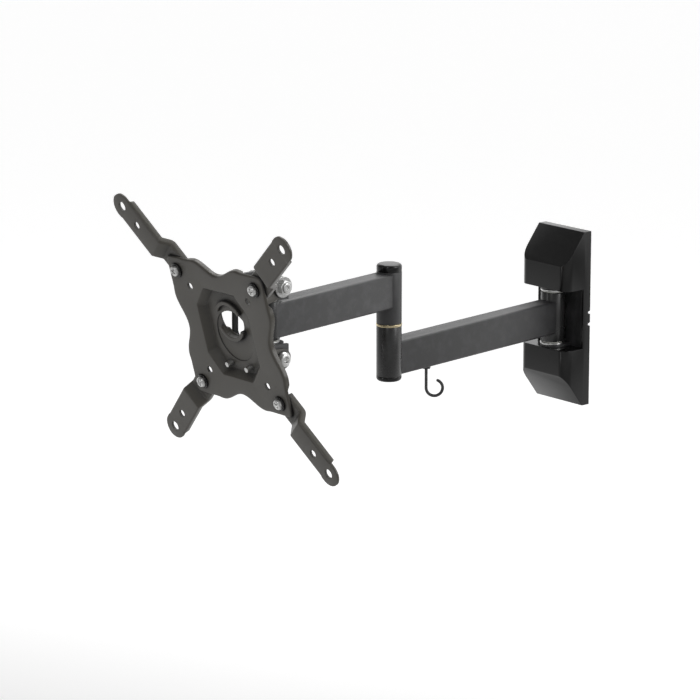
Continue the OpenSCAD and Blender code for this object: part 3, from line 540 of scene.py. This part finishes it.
def arm_section(x):
    """Outline (z, depth) of an arm at x: a channel between its round ends, plain sheet at them."""
    past = -x if x < 0 else max(0, x - OUTER_HOLE)
    half = max(0.05, sqrt(max(0, EXT_HALF ** 2 - past ** 2)))
    depth = EXT_T
    if 0 < x < FLANGE_END:
        depth = FLANGE
    elif FLANGE_END <= x < OUTER_HOLE:
        depth = EXT_T + (FLANGE - EXT_T) * max(0, FLANGE_GONE - x)
    soft = min(0.7, half * 0.3)
    if depth > EXT_T + 0.1:
        web = half - EXT_T
        line = [(0.3 - half, depth, 0), (-half, depth, 0.3), (-half, 0, 2.1), (half, 0, 2.1),
                (half, depth, 0.3), (web, depth, 0.3), (web, EXT_T, 0.7), (-web, EXT_T, 0.7),
                (-web, depth, 0.3), (0.4 - half, depth, 0)]
    else:
        line = [(0.3 * soft - half, depth, 0), (-half, depth, 0.2 * soft), (-half, 0, soft), (half, 0, soft),
                (half, depth, 0.2 * soft), (half * 0.8, depth, 0.02), (half * 0.6, depth, 0.02),
                (-half * 0.6, depth, 0.02), (-half * 0.8, depth, 0.02), (0.4 * soft - half, depth, 0)]
    return fillet(line, 4)


def extension_arm(node, angle):
    """A swing-out arm: round eye behind the plate, joggle, and a flanged strip with two holes."""
    stations = []
    for face, deep in zip(arm_path(0), arm_path(FLANGE)):
        spots = [(Vector(face).lerp(Vector(deep), d / FLANGE), z) for z, d in arm_section(face[0])]
        stations.append([(*p, z) for p, z in spots])
    bm = bmesh.new()
    loft(bm, stations)
    bmesh.ops.remove_doubles(bm, verts=bm.verts, dist=TIGHT)
    a = radians(angle)
    eye = Matrix.Translation((copysign(CORNER_SQUARE, cos(a)), 0, copysign(CORNER_SQUARE, sin(a))))
    local = ON_PLATE @ eye @ Matrix.Rotation(-a, 4, "Y")
    place(bm, local)
    obj = finish_piece(node, bm, sharp=38)
    holes = bmesh.new()
    for x, r, face in ((0, EYE_HOLE_R, EXT_BACK), (INNER_HOLE, INNER_HOLE_R, EXT_PROUD),
                       (OUTER_HOLE, OUTER_HOLE_R, EXT_PROUD)):
        rim = r + HOLE_CHAMFER
        turned(holes, [(0, -9), (r, -9), (r, -0.3), (rim, 0.02), (rim, 2), (0, 2)],
               Matrix.Translation((x, face, 0)) @ FACE_OUT, 48)
    cut_with(obj, holes, local)


# ---------------------------------------------------------------- fasteners

HEX_STEPS = 72
SIDE, TILT_WASHER_T, TILT_NUT_T, TILT_HEAD_T, TILT_BOLT_R = 18.0, 1.6, 3.6, 5.3, 4.0
EAR_OUT, LOCK_R, LOCK_NUT_T, LOCK_TAIL = 17.8, 3.0, 5.0, 7.4
TILT_HEAD_R, TILT_WASHER_R, TILT_NUT_R, LOCK_NUT_R = 7.5, 8.6, 6.2, 5.8
SCREW_R, CORNER_NUT_R, CORNER_NUT_FRONT, CORNER_NUT_T = 2.5, 4.7, -4.7, 4.0
LOCK = (HEAD_REACH * cos(TILT) + (PLATE_DROP - BOLT_RISE) * sin(TILT),
        (PLATE_DROP - BOLT_RISE) * cos(TILT) - HEAD_REACH * sin(TILT))
# how far each corner screw's cross recess is turned, in degrees
RECESS_TURNS = {(-1, -1): 20, (-1, 1): 62, (1, -1): 38, (1, 1): 5}


def hex_part(bm, r, z0, z1, hole, matrix, chamfer_top=True, chamfer_low=False, turn=0.0):
    """A hexagon nut or head round Z with turned chamfers; hole 0 closes the ends."""
    flat = r * cos(pi / 6)
    angles = [2 * pi * i / HEX_STEPS for i in range(HEX_STEPS)]
    size = [flat / cos(a % (pi / 3) - pi / 6) for a in angles]
    drop = [(s - flat * 0.985) * 0.55 for s in size]

    def ring(radii, heights):
        return [(r * cos(a + turn), r * sin(a + turn), z) for a, r, z in zip(angles, radii, heights)]

    def level(v):
        return [v] * HEX_STEPS

    def end(z, out, chamfered):
        """The end's inner ring and its outer ring; out is 1 at the top and -1 below."""
        if chamfered:
            return [ring(level(flat * 0.97), level(z)), ring(size, [z - out * d for d in drop])]
        return [ring([s - 0.15 for s in size], level(z)), ring(size, level(z - out * 0.15))]

    stations = end(z0, -1, chamfer_low) + end(z1, 1, chamfer_top)[::-1]
    if hole:
        stations += [ring(level(hole + out), level(z))
                     for out, z in ((0.5, z1), (0, z1 - 0.5), (0, z0 + 0.5), (0.5, z0))]
    loft(bm, stations, matrix, meet=bool(hole))


def thread(r, z0, z1, pitch=1.0, depth=0.5):
    """Half profile of a threaded length, from z0 to z1, with its end chamfered at z1."""
    up = copysign(1, z1 - z0)
    n = max(1, int(abs(z1 - z0) / pitch))
    step = (z1 - z0) / n
    out = []
    for k in range(n):
        z = z0 + k * step
        out += [(r - depth, z), (r, z + step * 0.45), (r, z + step * 0.6)]
    return out[:-2] + [(r - depth, z1 - up * 0.5), (r - depth - 0.4, z1), (0, z1)]


def washer_profile(r_out, r_in, z0, z1, c):
    """Half profile of a washer with softened edges, closed on itself."""
    return [(r_in, z0), (r_out - c, z0), (r_out, z0 + c), (r_out, z1 - c), (r_out - c, z1), (r_in, z1),
            (r_in, z0)]


def tilt_hardware():
    """Tilt bolt with its washer and nut, and the lock bolt below with its dimpled round head."""
    top = ON_SWIVEL @ Matrix.Translation((0, 0, BOLT_RISE)) @ TO_X
    seat = SIDE + TILT_WASHER_T
    tip = seat + TILT_NUT_T + 1.0
    bolt, washer, nut = bmesh.new(), bmesh.new(), bmesh.new()
    end = fillet([(TILT_BOLT_R, seat + 0.1, 0), (TILT_BOLT_R, tip, 0.9), (1.6, tip, 0.3), (1.1, tip - 1, 0.4),
                  (0, tip - 1, 0)], 4)
    turned(bolt, [(0, -SIDE), (TILT_BOLT_R, -SIDE), (TILT_BOLT_R, seat)] + end, top, 48)
    hex_part(bolt, TILT_HEAD_R, -SIDE - TILT_HEAD_T, -SIDE, 0, top, chamfer_top=False, chamfer_low=True)
    turned(washer, washer_profile(TILT_WASHER_R, TILT_BOLT_R + 0.05, SIDE, seat, 0.25), top)
    hex_part(nut, TILT_NUT_R, seat, seat + TILT_NUT_T, TILT_BOLT_R, top, turn=radians(12))
    for name, part in (("tilt_bolt", bolt), ("tilt_washer", washer), ("tilt_nut", nut)):
        finish_piece(name, part)
    low = ON_PLATE @ Matrix.Translation((0, *LOCK)) @ TO_X
    bolt, nut = bmesh.new(), bmesh.new()
    head = fillet([(LOCK_R, EAR_OUT, 0), (6.3, EAR_OUT, 0.2), (6.3, EAR_OUT + 2, 1.4),
                   (4.9, EAR_OUT + 4.6, 2.4), (2.6, EAR_OUT + 4.8, 0.4), (1.9, EAR_OUT + 2.9, 0.6),
                   (0, EAR_OUT + 2.9, 0)], 5)
    turned(bolt, thread(LOCK_R, -EAR_OUT, -EAR_OUT - LOCK_TAIL)[::-1] + head, low)
    hex_part(nut, LOCK_NUT_R, -EAR_OUT - LOCK_NUT_T, -EAR_OUT, LOCK_R, low, chamfer_low=True)
    finish_piece("lock_bolt", bolt)
    finish_piece("lock_nut", nut)


def corner_hardware():
    """Cross-head screws on dark spacers at the plate's corners, with their nuts behind."""
    screws, pads, nuts, recesses = (bmesh.new() for _ in range(4))
    pad = [(SCREW_R, 0), (6.2, 0), (6.25, 0.3), (6.0, 1.2), (5.6, 1.5), (SCREW_R, 1.5), (SCREW_R, 0)]
    head = fillet([(SCREW_R, 1.5, 0), (4.6, 1.5, 0.15), (4.6, 2.5, 0.5), (4.1, 4.1, 1.4), (2.2, 4.5, 2.5),
                   (0, 4.5, 0)], 5)
    screw = thread(SCREW_R, -1.9, -9.7, 0.8, 0.35)[::-1] + head
    # a cross of thin and long steps, and its (height, half width, half length) from the bottom up
    cross = [(1, 4), (-1, 4), (-1, 1), (-4, 1), (-4, -1), (-1, -1), (-1, -4), (1, -4), (1, -1), (4, -1), (4, 1),
             (1, 1)]
    levels = ((2.6, 0.42, 1.2), (4.0, 0.6, 2.64), (5.4, 0.75, 3.12))
    for (x, z), turn in RECESS_TURNS.items():
        spot = Matrix.Translation((x * CORNER_SQUARE, 0, z * CORNER_SQUARE)) @ FACE_OUT
        turned(pads, pad, spot, 56)
        turned(screws, screw, spot, 56)
        hex_part(nuts, CORNER_NUT_R, CORNER_NUT_FRONT - CORNER_NUT_T, CORNER_NUT_FRONT, SCREW_R, spot,
                 chamfer_low=True)
        slot = spot @ Matrix.Rotation(radians(turn), 4, "Z")
        loft(recesses, [[(*(copysign(thin if abs(v) == 1 else long, v) for v in step), height)
                         for step in cross] for height, thin, long in levels], slot)
    for part in (pads, screws, nuts):
        place(part, ON_PLATE)
    finish_piece("corner_washers", pads)
    cut_with(finish_piece("corner_screws", screws), recesses, ON_PLATE)
    finish_piece("corner_nuts", nuts)


# ---------------------------------------------------------------- cable hook

HOOK_AT, HOOK_TURN, HOOK_R, WIRE_R = 48, radians(-47.5), 7.1, 1.3
HOOK_TOP, HOOK_LOW, HOOK_SWEEP, WIRE_STEPS = -15, -35.4, radians(246), 24


def cable_hook():
    """Bent wire with a rounded tip."""
    path = [Vector((0, 0, HOOK_TOP)), Vector((0, 0, HOOK_TOP - 9))]
    path += [Vector((0, HOOK_R - HOOK_R * cos(a), HOOK_LOW - HOOK_R * sin(a)))
             for a in np.linspace(0, HOOK_SWEEP, 60)]
    side = Vector((1, 0, 0))
    round_wire = np.linspace(0, 2 * pi, WIRE_STEPS, endpoint=False)

    def ring(at, along, r):
        out = along.cross(side)
        return [at + (side * cos(a) + out * sin(a)) * r for a in round_wire]

    stations = []
    for before, p, after in zip(path[:1] + path, path, path[1:] + path[-1:]):
        stations.append(ring(p, (after - before).normalized(), WIRE_R))
    along = (path[-1] - path[-2]).normalized()
    stations += [ring(path[-1] + along * (sin(b) * WIRE_R), along, WIRE_R * cos(b))
                 for b in np.linspace(0, pi / 2, 7)[1:-1]]
    bm = bmesh.new()
    loft(bm, stations)
    place(bm, ON_REAR_ARM @ Matrix.Translation((0, HOOK_AT, 0)) @ Matrix.Rotation(HOOK_TURN, 4, "Z"))
    finish_piece("cable_hook", bm)


# ---------------------------------------------------------------- build

# node, edge rounding in mm, segments
EDGES = (
    ("wall_plate", 0.3, 1), ("pivot_bracket", 0.5, 2), ("rear_arm_tube", 0.3, 2),
    ("front_arm_tube", 0.3, 2), ("wall_barrel", 0.5, 2), ("lower_elbow_barrel", 0.45, 2),
    ("upper_elbow_barrel", 0.45, 2), ("swivel_barrel", 0.45, 2), ("lower_elbow_cap", 0.2, 2),
    ("upper_elbow_cap", 0.2, 2), ("swivel_yoke", 0.5, 2), ("tilt_bracket", 0.45, 2),
    ("elbow_ring", 0.3, 2), ("wall_washers", 0.25, 2), ("swivel_washers", 0.25, 2),
    ("wall_pivot_bolt", 0.3, 2), ("wall_pivot_nut", 0.3, 2), ("swivel_pin", 0.3, 2), ("swivel_nut", 0.3, 2),
    ("bracket_screws", 0.5, 2), ("bracket_rivets", 0.5, 3), ("hook_nut", 0.25, 2),
)
TRAY_D, LUG_SLOT_R, LUG_SLOT_Z, LUG_SLOT_FRONT = 8, 11.6, 30, -29.6


def on_cover(edge):
    """Outer edges of the wall cover, without the rims of its slots for the lugs."""
    mid = (edge.verts[0].co + edge.verts[1].co) / 2 / MM
    slot = abs(mid.x) < LUG_SLOT_R and abs(mid.z) < LUG_SLOT_Z and mid.y > LUG_SLOT_FRONT
    return edge.is_convex and min(v.co.y for v in edge.verts) < -TRAY_D * MM and not slot


screen_plate()
for node, angle in EXT_ANGLES.items():
    extension_arm(node, angle)
tilt_hardware()
corner_hardware()
cable_hook()
for node, width, segments in EDGES:
    dress(node, width, segments)
dress("wall_cover", 1.5, 4, on_cover)
for node, obj in NODES.items():
    obj.data.materials.clear()
    obj.data.materials.append(MATERIALS[SLOT_OF[node]])

# ---------------------------------------------------------------- floor, light, camera

scene = bpy.context.scene
WHITE = (1.0, 1.0, 1.0)
FLOOR_Z, FLOOR_HALF = -0.6, 60
FLOOR_PALE, FLOOR_SHADED = (0.92, 0.92, 0.92), (0.42, 0.42, 0.42)
# where the floor's painted shade and painted glow lie
FRONT_SIDE, BEHIND = Vector((0.76, -0.64, 0.0)), Vector((-0.55, 0.83, 0.0))
UNDER = Vector((0.1, -0.15, 0.0))
DARK_SIDE = Vector((0.1, -0.88, 0.46)).normalized()
MIDDLE = Vector((0.026, -0.23, 0.02))


def build_floor():
    """A pale floor with shade painted under the object and before it, and a painted glow far behind it."""
    mat = bpy.data.materials.new("floor")
    mat.use_nodes = True
    tree = mat.node_tree
    base = tree.nodes["Principled BSDF"]
    spot = tree.nodes.new("ShaderNodeTexCoord").outputs["Object"]
    # painted shade: a band on the camera's side and a pool under the object are darkened
    front = measured(tree, "DOT_PRODUCT", spot, FRONT_SIDE)
    painted_shade_band = maths(tree, "MULTIPLY", remap(tree, front, 0.1, 1.0), remap(tree, front, 1.8, 2.8, 1.0, 0.1))
    painted_shadow_pool = remap(tree, measured(tree, "DISTANCE", spot, UNDER), 0.68, 0.88, 0.9, 0.0)
    mottle = maths(tree, "MULTIPLY", noise(tree, spot, 3.0), 0.02)
    shade = maths(tree, "ADD", maths(tree, "MAXIMUM", painted_shade_band, painted_shadow_pool), mottle, True)
    # painted light: the floor far behind the object glows, though no lamp is there
    painted_glow = remap(tree, measured(tree, "DOT_PRODUCT", spot, BEHIND), 0.32, 1.1, 0.0, 0.5)
    tree.links.new(blend(tree, shade, FLOOR_PALE, FLOOR_SHADED), base.inputs["Base Color"])
    tree.links.new(painted_glow, base.inputs["Emission Strength"])
    base.inputs["Emission Color"].default_value = (*WHITE, 1)
    base.inputs["Roughness"].default_value = 0.8
    bm = bmesh.new()
    bmesh.ops.create_grid(bm, x_segments=1, y_segments=1, size=FLOOR_HALF)
    place(bm, Matrix.Translation((0, 0, FLOOR_Z)))
    mesh = bpy.data.meshes.new("floor")
    bm.to_mesh(mesh)
    bm.free()
    mesh.materials.append(mat)
    floor = bpy.data.objects.new("floor", mesh)
    scene.collection.objects.link(floor)


def build_studio():
    """A white studio, dimmer on one side."""
    world = bpy.data.worlds.new("studio")
    scene.world = world
    world.use_nodes = True
    tree = world.node_tree
    sky = tree.nodes["Background"]
    toward = measured(tree, "DOT_PRODUCT", tree.nodes.new("ShaderNodeTexCoord").outputs["Generated"], DARK_SIDE)
    tree.links.new(remap(tree, toward, -0.25, 0.45, 1.05, 0.22), sky.inputs["Strength"])
    sky.inputs["Color"].default_value = (*WHITE, 1)


def softbox(name, at, size, power):
    """A rectangular light that faces the middle of the object."""
    light = bpy.data.lights.new(name, "AREA")
    light.shape, light.size, light.size_y, light.energy = "RECTANGLE", size[0], size[1], power
    obj = bpy.data.objects.new(name, light)
    obj.location = at
    obj.rotation_mode = "QUATERNION"
    obj.rotation_quaternion = (MIDDLE - Vector(at)).to_track_quat("-Z", "Y")
    scene.collection.objects.link(obj)


build_floor()
build_studio()
softbox("top_box", (-0.4, 0.5, 1.5), (1.4, 1.4), 16)
softbox("right_box", (1.7, 0.5, 0.9), (0.5, 1.6), 8)
softbox("strip_box", (0.9, -1.5, 0.9), (0.12, 1.2), 2.5)
softbox("left_strip", (-0.25, -1.8, 0.1), (0.12, 0.9), 1.2)

EYE = (2.2136, -2.1244, 0.6867)
RIGHT, UP, BACK = (0.64526, 0.76397, 0), (-0.17515, 0.14793, 0.97336), (0.74362, -0.62807, 0.22926)
cam_data = bpy.data.cameras.new("camera")
cam_data.lens, cam_data.sensor_width = 180, 36
cam_data.clip_start, cam_data.clip_end = 0.05, 100
cam = bpy.data.objects.new("camera", cam_data)
cam.matrix_world = Matrix.Translation(EYE) @ Matrix((RIGHT, UP, BACK)).transposed().to_4x4()
scene.collection.objects.link(cam)
scene.camera = cam
scene.view_settings.view_transform = "Standard"
